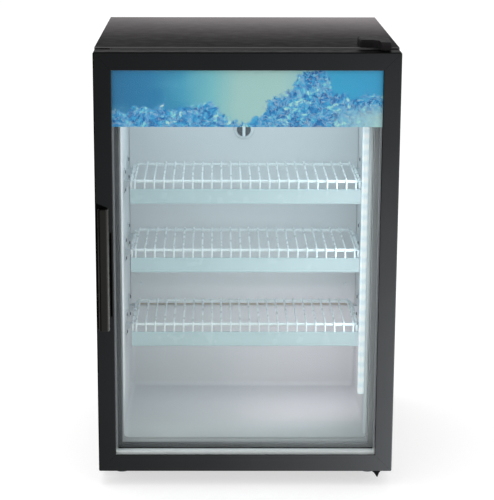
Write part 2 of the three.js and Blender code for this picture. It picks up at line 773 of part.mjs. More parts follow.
function handle() {
  const x0 = -SIDE + HANDLE_LEFT;
  const x1 = -SIDE + HANDLE_RIGHT;
  const front = DOOR_FRONT - HANDLE_REACH;
  const rear = DOOR_FRONT - GAP;
  const section = outline([
    [x0 + 1.5, front],
    [x1 - 1.5, front],
    [x1, front + 1.5],
    [x1, front + 7.5],
    [x1 - 2.4, front + 7.5],
    [x1 - 2.4, front + HANDLE_WALL],
    [x0 + HANDLE_WALL, front + HANDLE_WALL],
    [x0 + HANDLE_WALL, rear],
    [x0, rear],
    [x0, front + 1.5],
  ]);
  const full = outline([
    [x0 + 1.5, front],
    [x1 - 1.5, front],
    [x1, front + 1.5],
    [x1, rear],
    [x0, rear],
    [x0, front + 1.5],
  ]);
  const grip = standing(section, HANDLE_LOW, HANDLE_HIGH);
  const foot = standing(full, HANDLE_LOW, HANDLE_LOW + 4);
  const head = standing(full, HANDLE_HIGH - 4, HANDLE_HIGH);
  return join(grip, foot, head);
}

function banner() {
  return join(box(-GLASS_OUT, GLASS_OUT, FILM_FRONT, FILM_FRONT + FILM, BANNER_LOW, GLASS_HIGH));
}

add("door_stile_right", cut(stile(), hingeCorner()), blackPlastic);
add("door_stile_left", leftStile(), blackPlastic);
add("door_rail_top", rail(true), blackPlastic);
add("door_rail_bottom", rail(false), blackPlastic);
add("glass_outer", pane(OUTER_PANE, GLASS, GLASS_LOW), glass);
add("glass_inner", pane(INNER_PANE, GLASS, GLASS_LOW), glass);
add("glass_spacer", spacer(), aluminium);
add("door_banner", banner(), bannerPrint);
add("door_gasket", gasket(), greyRubber);
add("door_handle", handle(), blackPlastic);

// ---- Hinges and feet ----
const BRACKET = 3;

function bracketPlan(margin) {
  const left = 205 - margin;
  const rear = -150 + margin;
  const shoulder = CABINET_FRONT + 3 - margin;
  const nose = HINGE_Y - 5 - margin;
  return outline([
    [left, rear],
    [left, shoulder],
    [HINGE_X - 7 - margin, shoulder],
    [HINGE_X - 7 - margin, nose],
    [HINGE_X + 7 + margin, nose],
    [HINGE_X + 7 + margin, rear],
  ]);
}

function upperHingeBracket() {
  const z = CABINET_TOP + GAP;
  const plate = standing(bracketPlan(0), z, z + BRACKET);
  const pin = post(HINGE_X, HINGE_Y, DOOR_TOP - PIN_DEPTH, z + 1, PIN_RADIUS);
  return join(plate, pin);
}

function hingeCover() {
  const z = CABINET_TOP + GAP;
  const plan = outline([
    [200, -146],
    [200, CABINET_FRONT],
    [HINGE_X - 10, CABINET_FRONT - 3],
    [HINGE_X - 9, HINGE_Y - 7],
    [HINGE_X + 9, HINGE_Y - 7],
    [HINGE_X + 11, CABINET_FRONT - 3],
    [HINGE_X + 11, -146],
  ]);
  const body = standing(plan, z, COVER_TOP);
  return cut(body, standing(bracketPlan(GAP), z - 1, z + BRACKET + GAP));
}

function lowerHingeBracket() {
  const top = FOOT_HEIGHT - GAP;
  const plate = standing(bracketPlan(0), top - BRACKET, top);
  const pin = post(HINGE_X, HINGE_Y, top - 1, DOOR_BOTTOM + PIN_DEPTH, PIN_RADIUS);
  const gusset = runningY(
    outline([[HINGE_X - 7, top - 1], [HINGE_X + 2, 10.5], [HINGE_X + 7, top - 1]]),
    HINGE_Y - 3,
    CABINET_FRONT + 8,
  );
  const footHole = post(FOOT_X, FOOT_FRONT_Y, top - BRACKET - 1, top + 1, STUD_HOLE + 0.5);
  return cut(join(plate, pin, gusset), footHole);
}

function foot(studTop) {
  const profile = [[0, 0], [14, 0], [17, 3], [17, 9], [9, 12], [9, 20], [STUD_RADIUS, 20],
    [STUD_RADIUS, studTop], [0, studTop]];
  const turned = new THREE.LatheGeometry(profile.map(([r, h]) => new THREE.Vector2(r, h)), 16);
  return join(turned.rotateX(Math.PI / 2));
}

add("upper_hinge_bracket", upperHingeBracket(), satinBlack);
add("hinge_cover", hingeCover(), blackPlastic);
add("lower_hinge_bracket", lowerHingeBracket(), satinBlack);
for (const [side, x] of [["left", -FOOT_X], ["right", FOOT_X]]) {
  add(`foot_front_${side}`, foot(STUD_TOP), greyRubber).position.set(x, FOOT_FRONT_Y, 0);
  add(`foot_rear_${side}`, foot(FOOT_HEIGHT + SHEET), greyRubber).position.set(x, FOOT_REAR_Y, 0);
}

export default merchandiser;
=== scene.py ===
"""Looks of a countertop glass door merchandiser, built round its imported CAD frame.

Everything is in metres in the CAD's frame: +Z up, the door faces -Y, +X to the right.
"""

import json
import math

import bmesh
import bpy
from mathutils import Matrix, Vector

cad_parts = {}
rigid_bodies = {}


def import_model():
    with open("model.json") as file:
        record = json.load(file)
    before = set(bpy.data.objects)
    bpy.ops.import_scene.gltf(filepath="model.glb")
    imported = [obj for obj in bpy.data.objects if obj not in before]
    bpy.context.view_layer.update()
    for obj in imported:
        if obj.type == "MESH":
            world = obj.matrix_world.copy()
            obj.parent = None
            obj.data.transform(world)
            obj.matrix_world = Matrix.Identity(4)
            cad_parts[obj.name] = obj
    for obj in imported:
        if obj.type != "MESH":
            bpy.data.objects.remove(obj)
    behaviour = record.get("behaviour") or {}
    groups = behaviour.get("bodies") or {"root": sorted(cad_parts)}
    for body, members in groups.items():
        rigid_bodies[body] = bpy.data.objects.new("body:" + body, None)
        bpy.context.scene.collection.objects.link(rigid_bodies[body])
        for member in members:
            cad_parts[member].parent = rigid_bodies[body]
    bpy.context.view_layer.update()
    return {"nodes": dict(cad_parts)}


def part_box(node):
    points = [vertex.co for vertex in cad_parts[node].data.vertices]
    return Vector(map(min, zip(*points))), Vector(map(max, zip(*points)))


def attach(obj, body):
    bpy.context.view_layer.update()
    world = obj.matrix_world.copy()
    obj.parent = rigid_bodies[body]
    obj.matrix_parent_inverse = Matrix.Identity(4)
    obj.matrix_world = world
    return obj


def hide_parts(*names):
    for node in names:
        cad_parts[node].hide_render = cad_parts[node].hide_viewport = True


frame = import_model()
NODES = frame["nodes"]
MM = 0.001
TIP = 0.1 * MM  # the radius at which a turned profile stops, next to its axis


# ---------------------------------------------------------------- node helpers
class Tree:
    """A short way to write a material's node tree."""

    def __init__(self, name):
        self.material = bpy.data.materials.new(name)
        self.material.use_nodes = True
        self.tree = self.material.node_tree
        self.tree.nodes.clear()
        self.output = self.tree.nodes.new("ShaderNodeOutputMaterial")
        self.coordinates = None

    def add(self, kind, inputs=None, **settings):
        node = self.tree.nodes.new("ShaderNode" + kind)
        for key, value in settings.items():
            setattr(node, key, value)
        for key, value in (inputs or {}).items():
            self.put(node.inputs[key], value)
        return node

    def put(self, socket, value):
        if isinstance(value, bpy.types.NodeSocket):
            self.tree.links.new(value, socket)
        elif isinstance(value, bpy.types.Node):
            self.tree.links.new(value.outputs[0], socket)
        else:
            socket.default_value = value

    def place(self, stretch=(1, 1, 1)):
        """Coordinates in metres in the object's own frame, stretched per axis."""
        if self.coordinates is None:
            self.coordinates = self.add("TexCoord").outputs["Object"]
        if stretch == (1, 1, 1):
            return self.coordinates
        return self.add("Mapping", {"Vector": self.coordinates, "Scale": stretch}).outputs[0]

    def noise(self, scale, detail=3.0, stretch=(1, 1, 1)):
        inputs = {"Vector": self.place(stretch), "Scale": scale, "Detail": detail}
        return self.add("TexNoise", inputs).outputs["Fac"]

    def axis(self, letter):
        """One of the place's three coordinates."""
        return self.add("SeparateXYZ", {"Vector": self.place()}).outputs[letter]

    def spread(self, value, low, high, start=0.3, end=0.7):
        """Runs from low to high, and stays there, as value goes from start to end."""
        inputs = {"Value": value, "From Min": start, "From Max": end, "To Min": low, "To Max": high}
        return self.add("MapRange", inputs).outputs[0]

    def maths(self, operation, a, b=0.0):
        node = self.add("Math", operation=operation)
        self.put(node.inputs[0], a)
        self.put(node.inputs[1], b)
        return node.outputs[0]

    def blend(self, factor, first, second):
        node = self.add("Mix", data_type="RGBA")
        self.put(node.inputs["Factor"], factor)
        self.put(node.inputs[6], first)
        self.put(node.inputs[7], second)
        return node.outputs[2]

    def ramp(self, factor, stops):
        node = self.add("ValToRGB", {"Fac": factor})
        points = node.color_ramp.elements
        points[0].position, points[0].color = stops[0]
        points[1].position, points[1].color = stops[-1]
        for position, color in stops[1:-1]:
            points.new(position).color = color
        return node.outputs[0]

    def bump(self, height, strength, distance=0.5 * MM):
        inputs = {"Height": height, "Strength": strength, "Distance": distance}
        return self.add("Bump", inputs).outputs[0]

    def finish(self, shader):
        self.tree.links.new(shader.outputs[0], self.output.inputs["Surface"])
        return self.material


def rgba(color, factor):
    return tuple(min(1.0, c * factor) for c in color) + (1.0,)


DULL = {"Specular IOR Level": 0.006}
SATIN = {"Specular IOR Level": 0.3}


def moulded(name, color, rough, grain, depth, tint=0.05, **fixed):
    """Painted or moulded surface: faint colour drift, patchy gloss, fine grain."""
    t = Tree(name)
    drift = t.spread(t.noise(9.0), 0.0, 1.0)
    gloss = t.spread(t.noise(55.0, 4.0), rough * 0.88, min(1.0, rough * 1.16))
    height = t.noise(grain, 2.0)
    inputs = {
        "Base Color": t.blend(drift, rgba(color, 1 - tint), rgba(color, 1 + tint)),
        "Roughness": gloss,
        "Normal": t.bump(height, depth),
        **fixed,
    }
    return t.finish(t.add("BsdfPrincipled", inputs))


def brushed(name, color, rough, stretch):
    """Metal with long fine scratches along the axis that stretch leaves short."""
    t = Tree(name)
    scratches = t.noise(1.0, 5.0, stretch)
    drift = t.spread(t.noise(14.0, 3.0), 0.0, 1.0)
    inputs = {
        "Base Color": t.blend(drift, rgba(color, 0.92), rgba(color, 1.08)),
        "Roughness": t.spread(scratches, rough * 0.8, rough * 1.25),
        "Metallic": 1.0,
        "Normal": t.bump(scratches, 0.12, 0.2 * MM),
    }
    return t.finish(t.add("BsdfPrincipled", inputs))


def glass_material():
    """Float glass: clear, faintly green, with smears that show only in its reflections."""
    t = Tree("pane_glass")
    see = t.add("BsdfTransparent", {"Color": (0.972, 0.984, 0.982, 1)})
    smears = t.spread(t.noise(6.0, 4.0, (1, 1, 0.35)), 0.015, 0.06)
    mirror = t.add("BsdfGlossy", {"Color": (1, 1, 1, 1), "Roughness": smears})
    facing = t.add("LayerWeight", {"Blend": 0.5}).outputs["Facing"]
    share = t.maths("ADD", t.maths("MULTIPLY", t.maths("POWER", facing, 3.5), 0.6), 0.006)
    return t.finish(t.add("MixShader", {"Fac": share, 1: see, 2: mirror}))


def spacer_material():
    """Dull aluminium round the glass unit, with a painted highlight: a brighter strip along the
    bottom.
    """
    t = Tree("spacer_metal")
    low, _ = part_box("glass_spacer")
    # Painted highlight: the aluminium turns much brighter in a strip along the bottom.
    strip_top = low.z + 15.5 * MM
    bottom_highlight = t.spread(t.axis("Z"), 1.0, 0.0, strip_top, strip_top + 6 * MM)
    scratches = t.noise(1.0, 5.0, (40, 900, 900))
    tone = t.blend(bottom_highlight, (0.25, 0.255, 0.27, 1), (0.86, 0.88, 0.88, 1))
    inputs = {
        "Base Color": t.blend(t.spread(scratches, 0.0, 0.22), tone, (0.15, 0.15, 0.16, 1)),
        "Roughness": t.spread(scratches, 0.30, 0.46),
        "Metallic": 0.1,
        "Normal": t.bump(scratches, 0.1, 0.2 * MM),
    }
    return t.finish(t.add("BsdfPrincipled", inputs))


def zinc_material():
    """Galvanised sheet: interlocking crystals that differ a little in tone and gloss."""
    t = Tree("zinc_sheet")
    push = t.add("TexNoise", {"Vector": t.place(), "Scale": 60.0, "Detail": 2.0}).outputs["Color"]
    push = t.add("VectorMath", {0: push, "Scale": 0.012}, operation="SCALE").outputs[0]
    bent = t.add("VectorMath", {0: t.place(), 1: push}, operation="ADD").outputs[0]
    cell = t.add("TexVoronoi", {"Vector": bent, "Scale": 130.0})
    tone = t.add("SeparateColor", {"Color": cell.outputs["Color"]}).outputs[0]
    fine = t.noise(400.0, 3.0)
    gloss = t.maths("ADD", t.spread(tone, 0.34, 0.48, 0.0, 1.0), t.spread(fine, -0.03, 0.03))
    inputs = {
        "Base Color": t.blend(tone, (0.47, 0.49, 0.51, 1), (0.57, 0.59, 0.61, 1)),
        "Roughness": gloss,
        "Metallic": 1.0,
        "Normal": t.bump(fine, 0.05, 0.2 * MM),
    }
    return t.finish(t.add("BsdfPrincipled", inputs))


def lamp_material():
    """Opal diffuser lit from behind by a row of diodes."""
    t = Tree("lamp_light")
    diode_pitch = 20 * MM
    wave = t.maths("SINE", t.maths("MULTIPLY", t.axis("Z"), 2 * math.pi / diode_pitch))
    glow = t.spread(wave, 0.0, 1.0, -1.0, 1.0)
    inputs = {
        "Base Color": (0.66, 0.71, 0.73, 1),
        "Roughness": t.spread(t.noise(80.0), 0.25, 0.4),
        "Emission Color": t.blend(glow, (0.60, 0.72, 0.80, 1), (1.0, 1.0, 1.0, 1)),
        "Emission Strength": 0.46,
    }
    return t.finish(t.add("BsdfPrincipled", inputs))


def grip_material():
    """Gloss black moulding with painted highlight lines along its two long edges."""
    t = Tree("black_grip")
    low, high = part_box("door_handle")
    half = (high.x - low.x) / 2
    aside = t.maths("ABSOLUTE", t.maths("SUBTRACT", t.axis("X"), (low.x + high.x) / 2))
    # Painted highlight: paler lines along both long edges, stronger lower down, where light would
    # catch the edges.
    edge = t.spread(aside, 0.0, 1.0, half - 2.6 * MM, half - 1.6 * MM)
    lower = t.spread(t.axis("Z"), 1.0, 0.2, low.z + 120 * MM, high.z)
    patchy = t.spread(t.noise(60.0, 3.0), 0.5, 1.0)
    # The mask of the painted edge highlight, broken into patches.
    painted_edge_highlight = t.maths("MULTIPLY", t.maths("MULTIPLY", edge, lower), patchy)
    to_right = t.spread(t.axis("X"), 0.0, 1.0, low.x, high.x)
    pale = t.blend(to_right, (0.040, 0.038, 0.035, 1), (0.0042, 0.0041, 0.0038, 1))
    inputs = {
        "Base Color": t.blend(painted_edge_highlight, (0.0020, 0.0019, 0.0017, 1), pale),
        "Roughness": t.spread(t.noise(55.0, 4.0), 0.22, 0.30),
        "Specular IOR Level": 0.02,
        "Normal": t.bump(t.noise(1500.0, 2.0), 0.05),
    }
    return t.finish(t.add("BsdfPrincipled", inputs))


def seal_material():
    """Soft grey seal with painted light: darker on the handle's side and paler towards the hinge
    and the lamp.
    """
    t = Tree("gasket_rubber")
    low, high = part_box("door_gasket")
    # Painted light: the grey grows paler from left to right, towards the lamp.
    across = t.spread(t.axis("X"), 0.0, 1.0, low.x, high.x)
    patchy = t.maths("MULTIPLY", across, t.spread(t.noise(9.0), 0.94, 1.06))
    inputs = {
        "Base Color": t.blend(patchy, (0.108, 0.113, 0.124, 1), (0.400, 0.400, 0.415, 1)),
        "Roughness": t.spread(t.noise(55.0, 4.0), 0.55, 0.72),
        "Normal": t.bump(t.noise(700.0, 2.0), 0.12),
        **DULL,
    }
    return t.finish(t.add("BsdfPrincipled", inputs))


def top_material():
    """Black paint with a painted highlight along its front edge, under dust and painted sheen that
    thicken to the rear.
    """
    t = Tree("top_paint")
    low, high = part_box("top_panel")
    # Dust and painted sheen: a paler layer that grows towards the rear and the right.
    back = t.spread(t.axis("Y"), 0.0, 1.0, low.y + 8 * MM, high.y - 2 * MM)
    right = t.spread(t.axis("X"), 0.62, 1.0, low.x, high.x)
    dust_and_sheen = t.maths("MULTIPLY", t.maths("POWER", back, 2.0), right)
    patchy = t.maths("MULTIPLY", dust_and_sheen, t.spread(t.noise(5.0, 2.0), 0.93, 1.05))
    # Painted highlight: a thin paler line along the front edge.
    painted_edge_highlight = t.spread(t.axis("Y"), 0.30, 0.0, low.y + 3.5 * MM, low.y + 5.5 * MM)
    dust_and_sheen_tone = t.blend(patchy, (0.005, 0.0045, 0.005, 1), (0.205, 0.19, 0.195, 1))
    inputs = {
        "Base Color": t.blend(painted_edge_highlight, dust_and_sheen_tone, (0.30, 0.30, 0.30, 1)),
        "Roughness": t.spread(t.noise(40.0), 0.50, 0.60),
        "Specular IOR Level": 0.008,
        "Normal": t.bump(t.noise(900.0, 2.0), 0.06),
    }
    return t.finish(t.add("BsdfPrincipled", inputs))


BLACK_PAINT = moulded("black_paint", (0.013, 0.013, 0.014), 0.38, 1400.0, 0.08, **DULL)
BLACK_FRAME = moulded("black_frame", (0.0018, 0.0018, 0.0018), 0.36, 1800.0, 0.06, **DULL)
BLACK_GRIP = grip_material()
BLACK_PLASTIC = moulded("black_plastic", (0.014, 0.013, 0.014), 0.42, 1000.0, 0.15, **DULL)
RUBBER = seal_material()
FOOT_GREY = moulded("foot_grey", (0.135, 0.140, 0.152), 0.62, 700.0, 0.12, **DULL)
LINER_WHITE = moulded("liner_white", (0.640, 0.652, 0.668), 0.42, 520.0, 0.06, tint=0.015)
PART_WHITE = moulded("part_white", (0.72, 0.77, 0.80), 0.40, 800.0, 0.12, tint=0.03)
CLIP_GREY = moulded("clip_grey", (0.55, 0.58, 0.61), 0.40, 700.0, 0.15, tint=0.06)
STUD_GREY = moulded("stud_grey", (0.095, 0.105, 0.118), 0.35, 900.0, 0.10)
KNOB_GREY = moulded("knob_grey", (0.085, 0.098, 0.11), 0.40, 800.0, 0.12, tint=0.03)
WIRE_WHITE = moulded("wire_white", (0.76, 0.79, 0.80), 0.28, 420.0, 0.1, tint=0.02)
STRIP_AQUA = moulded("strip_aqua", (0.345, 0.440, 0.455), 0.25, 300.0, 0.05, tint=0.03)
FOAM = moulded("foam", (0.72, 0.60, 0.34), 0.9, 260.0, 0.6, tint=0.12)
ZINC = zinc_material()
SIDE_PAINT = moulded("side_paint", (0.010, 0.010, 0.011), 0.30, 1100.0, 0.14, **SATIN)
SPACER = spacer_material()
FINS = brushed("fin_metal", (0.68, 0.70, 0.72), 0.38, (40, 40, 900))
COPPER = brushed("copper", (0.72, 0.36, 0.22), 0.3, (300, 300, 60))
TOP_PAINT = top_material()
GLASS = glass_material()
LAMP = lamp_material()


# ------------------------------------------------------------ geometry helpers
def rounded(points, radius, steps=4):
    """A closed 2-D outline with its corners turned into arcs. radius may be a list."""
    count = len(points)
    radii = radius if isinstance(radius, (list, tuple)) else [radius] * count
    outline = []
    for i, corner in enumerate(points):
        here = Vector(corner)
        back = Vector(points[i - 1]) - here
        ahead = Vector(points[(i + 1) % count]) - here
        r = radii[i]
        if r <= 0:
            outline.append(tuple(here))
            continue
        half = back.angle(ahead) / 2
        reach = min(r / math.tan(half), back.length * 0.499, ahead.length * 0.499)
        start = here + back.normalized() * reach
        end = here + ahead.normalized() * reach
        for k in range(steps + 1):
            s = k / steps
            point = start * (1 - s) ** 2 + here * 2 * s * (1 - s) + end * s ** 2
            outline.append(tuple(point))
    return outline


def bare_object(bm, name, material):
    """Turns a bmesh into an object as it is."""
    data = bpy.data.meshes.new(name)
    bm.to_mesh(data)
    bm.free()
    piece = bpy.data.objects.new(name, data)
    bpy.context.scene.collection.objects.link(piece)
    data.materials.append(material)
    return piece


def object_from(bm, name, material, smooth=True, body=None, slot=None, replaces=()):
    """Turns a bmesh into a cleaned and shaded piece that rides on its body."""
    bmesh.ops.remove_doubles(bm, verts=bm.verts, dist=1e-6)
    bmesh.ops.recalc_face_normals(bm, faces=bm.faces)
    piece = bare_object(bm, name, material)
    if smooth:
        shade(piece)
        even_normals(piece)
    if body:
        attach(piece, body)
    if replaces:
        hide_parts(*replaces)
    return piece


def shade(piece, angle=32.0):
    """Smooth shading that keeps edges sharper than the angle."""
    bpy.ops.object.select_all(action="DESELECT")
    bpy.context.view_layer.objects.active = piece
    piece.select_set(True)
    bpy.ops.object.shade_smooth_by_angle(angle=math.radians(angle))
    piece.select_set(False)


def even_normals(piece):
    """Keeps big flat faces flat in shading, next to narrow rounded ones."""
    even = piece.modifiers.new("normals", "WEIGHTED_NORMAL")
    even.keep_sharp = True


def loft(bm, rings, caps=True):
    """Skins closed rings of points, each with the same count."""
    made = [[bm.verts.new(p) for p in ring] for ring in rings]
    count = len(made[0])
    for low, high in zip(made, made[1:]):
        for i in range(count):
            j = (i + 1) % count
            bm.faces.new((low[i], low[j], high[j], high[i]))
    if caps:
        bm.faces.new(list(reversed(made[0])))
        bm.faces.new(made[-1])


def tube(bm, points, radius, sides, closed=False):
    """A round bar along a polyline."""
    path = [Vector(p) for p in points]
    rings = []
    side = None
    last = len(path) - 1
    for i, here in enumerate(path):
        before = path[i - 1] if i or closed else here
        after = path[(i + 1) % len(path)] if i < last or closed else here
        along = (after - before).normalized()
        if side is None:
            side = along.orthogonal().normalized()
        side = (side - along * side.dot(along)).normalized()
        up = along.cross(side)
        ring = []
        for k in range(sides):
            turn = 2 * math.pi * k / sides
            ring.append(here + (side * math.cos(turn) + up * math.sin(turn)) * radius)
        rings.append(ring)
    if closed:
        rings.append(rings[0])
    loft(bm, rings, caps=not closed)


def bend(points, radius, steps, closed=False):
    """A 3-D polyline with its corners turned into arcs."""
    path = [Vector(p) for p in points]
    count = len(path)
    line = []
    for i, here in enumerate(path):
        if not closed and i in (0, count - 1):
            line.append(here)
            continue
        back = path[i - 1] - here
        ahead = path[(i + 1) % count] - here
        reach = min(radius, back.length * 0.49, ahead.length * 0.49)
        start = here + back.normalized() * reach
        end = here + ahead.normalized() * reach
        for k in range(steps + 1):
            s = k / steps
            line.append(start * (1 - s) ** 2 + here * 2 * s * (1 - s) + end * s ** 2)
    return line


def block(low, high, soft, steps=2):
    """A box in a new bmesh, with its edges rounded by soft."""
    low, high = Vector(low), Vector(high)
    bm = bmesh.new()
    bmesh.ops.create_cube(bm, size=1.0)
    bmesh.ops.scale(bm, vec=high - low, verts=bm.verts[:])
    bmesh.ops.translate(bm, vec=(low + high) / 2, verts=bm.verts[:])
    bevel(bm, bm.edges[:], soft, steps)
    return bm


def bevel(bm, edges, width, steps):
    bmesh.ops.bevel(bm, geom=edges, offset=width, segments=steps, profile=0.5, affect="EDGES")


def aimed(place, direction):
    """A frame at place whose Z axis points along direction."""
    turn = Vector(direction).to_track_quat("Z", "Y").to_matrix().to_4x4()
    return Matrix.Translation(place) @ turn


def revolve(bm, profile, place, steps):
    """Turns (radius, height) pairs about Z, then puts the result where place says."""
    rings = []
    for radius, height in profile:
        ring = []
        for k in range(steps):
            turn = 2 * math.pi * k / steps
            ring.append(place @ Vector((radius * math.cos(turn), radius * math.sin(turn), height)))
        rings.append(ring)
    loft(bm, rings)


def prism(bm, outline, place, low, high):
    """A flat outline (u, v), mapped by place(u, v, w), from w = low to w = high."""
    loft(bm, [[place(u, v, w) for u, v in outline] for w in (low, high)])


def soften(node, width, material):
    """Keeps a CAD node's shape, rounds its edges and gives it a material."""
    piece = NODES[node]
    piece.data.materials.clear()
    piece.data.materials.append(material)
    shade(piece)
    if width > 0:
        edge = piece.modifiers.new("edges", "BEVEL")
        edge.width = width
        edge.segments = 2
        edge.limit_method = "ANGLE"
        edge.angle_limit = math.radians(30.0)
        edge.harden_normals = True


# -------------------------------------------------------------------- the door
def door_outer():
    """The door's outer edges: left, right, low and high."""
    left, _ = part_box("door_stile_left")
    _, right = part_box("door_stile_right")
    low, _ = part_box("door_rail_bottom")
    _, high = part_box("door_rail_top")
    return left.x, right.x, low.z, high.z


DOOR_LEFT, DOOR_RIGHT, DOOR_LOW, DOOR_HIGH = door_outer()
STILE_LOW, STILE_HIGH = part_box("door_stile_left")
BAR_FACE = STILE_HIGH.x - STILE_LOW.x
DOOR_FRONT, DOOR_REAR = STILE_LOW.y, STILE_HIGH.y
PANE_LOW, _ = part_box("glass_outer")
_, INNER_PANE_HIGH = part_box("glass_inner")
SEAT = PANE_LOW.x - DOOR_LEFT - 0.5 * MM
MITRE = 0.15 * MM


def bar_outline(chamfer):
    """Section of a frame bar: u in from the door's outer edge, y the depth, corners rounded."""
    lip = PANE_LOW.y - 0.3 * MM
    seat_rear = INNER_PANE_HIGH.y + 0.3 * MM
    points = [(0, DOOR_FRONT), (BAR_FACE, DOOR_FRONT), (BAR_FACE, lip), (SEAT, lip)]
    points += [(SEAT, seat_rear), (BAR_FACE, seat_rear), (BAR_FACE, DOOR_REAR)]
    radii = [2.4 * MM, 1.6 * MM, 0.5 * MM, 0, 0, 0.6 * MM, 1.0 * MM]
    if chamfer > 0:
        points += [(chamfer, DOOR_REAR), (0, DOOR_REAR - chamfer)]
        radii += [2 * MM, 2 * MM]
    else:
        points += [(0, DOOR_REAR)]
        radii += [1.5 * MM]
    return rounded(points, radii)


def frame_bar(name, node, place, start, end, chamfer=0.0):
    """A mitred bar, rounded with the door's corners.

    The further a point is from the door's outer edge, the shorter its run.
    """
    bm = bmesh.new()
    rings = []
    for limit, inward in ((start, 1), (end, -1)):
        rings.append([place(u, y, limit + inward * (u + MITRE)) for u, y in bar_outline(chamfer)])
    loft(bm, rings)
    bar = object_from(bm, name, BLACK_FRAME, body="door", slot="door_frame", replaces=[node])
    bm = bmesh.new()
    corners = [(DOOR_LEFT, DOOR_LOW), (DOOR_RIGHT, DOOR_LOW)]
    corners += [(DOOR_RIGHT, DOOR_HIGH), (DOOR_LEFT, DOOR_HIGH)]
    whole_door = rounded(corners, 4 * MM, 6)
    prism(bm, whole_door, lambda u, v, w: (u, w, v), DOOR_FRONT - 1 * MM, DOOR_REAR + 1 * MM)
    carve(bar, bm, "INTERSECT")
    return bar


def carve(piece, bm, operation):
    """Cuts a piece with a solid, or keeps only what is inside it."""
    tool = object_from(bm, "carving_tool", piece.active_material, smooth=False)
    change = piece.modifiers.new("carve", "BOOLEAN")
    change.operation = operation
    change.object = tool
    change.solver = "EXACT"
    bpy.context.view_layer.update()
    result = piece.evaluated_get(bpy.context.evaluated_depsgraph_get())
    shaped = bpy.data.meshes.new_from_object(result)
    piece.modifiers.clear()
    piece.data = shaped
    bpy.data.objects.remove(tool)
    shade(piece)
    even_normals(piece)


def door_frame():
    """Four mitred bars. The right one is chamfered behind, to clear the cabinet as it turns."""
    across = (DOOR_LEFT, DOOR_RIGHT)
    upright = (DOOR_LOW, DOOR_HIGH)
    frame_bar("frame_top", "door_rail_top", lambda u, y, w: (w, y, DOOR_HIGH - u), *across)
    frame_bar("frame_bottom", "door_rail_bottom", lambda u, y, w: (w, y, DOOR_LOW + u), *across)
    frame_bar("frame_right", "door_stile_right", lambda u, y, w: (DOOR_RIGHT - u, y, w), *upright,
              chamfer=10 * MM)
    left = frame_bar("frame_left", "door_stile_left", lambda u, y, w: (DOOR_LEFT + u, y, w),
                     *upright)
    handle_slot(left)


def handle_slot(stile):
    """The long narrow groove in the stile beside the grip."""
    x, wide, deep = DOOR_LEFT + 25 * MM, 4 * MM, 1.5 * MM
    bottom, top = 325 * MM, 481 * MM
    groove = block((x, DOOR_FRONT - 3 * MM, bottom), (x + wide, DOOR_FRONT + deep, top), 0.4 * MM)
    carve(stile, groove, "DIFFERENCE")


def door_handle():
    """J-shaped pull: a crowned face, a return lip on the right and closed ends."""
    low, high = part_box("door_handle")
    wall = 3 * MM
    x0, x1, front, rear = low.x, high.x, low.y, high.y
    shoulder, lip_end, lip_x = front + 2 * MM, front + 7.5 * MM, x1 - 2.4 * MM
    crown = [(x0, rear), (x0, shoulder), (x0 + 4 * MM, front)]
    crown += [(x1 - 4 * MM, front), (x1, shoulder)]
    crown_radii = [0.4 * MM, 2 * MM, 3 * MM, 3 * MM, 2 * MM]
    inner = [(x1, lip_end), (lip_x, lip_end), (lip_x, front + wall)]
    inner += [(x0 + wall, front + wall), (x0 + wall, rear)]
    inner_radii = [1 * MM, 0.8 * MM, 0.6 * MM, 0.6 * MM, 0.4 * MM]
    section = rounded(crown + inner, crown_radii + inner_radii)
    under_cap = 3 * MM
    bm = bmesh.new()
    prism(bm, section, lambda u, v, w: (u, v, w), low.z + under_cap, high.z - under_cap)
    cap = rounded(crown + [(x1, rear)], crown_radii + [0.4 * MM])
    middle = (x0 + x1) / 2
    for base, way in ((low.z, 1), (high.z, -1)):
        rings = []
        for rise, shrink in ((0, 0.88), (0.6 * MM, 0.95), (1.6 * MM, 0.99), (4 * MM, 1.0)):
            ring = []
            for u, v in cap:
                x = middle + (u - middle) * shrink
                y = rear + (v - rear) * (0.5 + 0.5 * shrink)
                ring.append((x, y, base + way * rise))
            rings.append(ring)
        loft(bm, rings)
    object_from(bm, "handle_grip", BLACK_GRIP, body="door", slot="handle_plastic",
                replaces=["door_handle"])


def door_seal():
    """Magnetic gasket: a soft bellows profile carried round the door with mitred corners."""
    low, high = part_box("door_gasket")
    depth = high.y - low.y
    profile = [(0.0, 0.0), (0.2, 0.16), (0.0, 0.38), (0.05, 0.62), (0.25, 0.78), (0.1, 0.9)]
    profile += [(0.3, 1.0), (0.8, 1.0), (0.98, 0.86), (0.86, 0.7), (1.0, 0.5), (0.9, 0.3)]
    profile += [(1.0, 0.12), (0.95, 0.0)]
    side, bottom, top = 22 * MM, 20.5 * MM, 12 * MM
    outline = rounded([(u * side, low.y + v * depth) for u, v in profile], 0.9 * MM, 3)
    rings = []
    for sx, sz in ((-1, -1), (1, -1), (1, 1), (-1, 1), (-1, -1)):
        edge_x = low.x if sx < 0 else high.x
        edge_z = low.z if sz < 0 else high.z
        rise = (bottom if sz < 0 else top) / side
        rings.append([(edge_x - sx * u, y, edge_z - sz * u * rise) for u, y in outline])
    bm = bmesh.new()
    loft(bm, rings, caps=False)
    object_from(bm, "door_seal", RUBBER, body="door", slot="gasket_rubber",
                replaces=["door_gasket"])


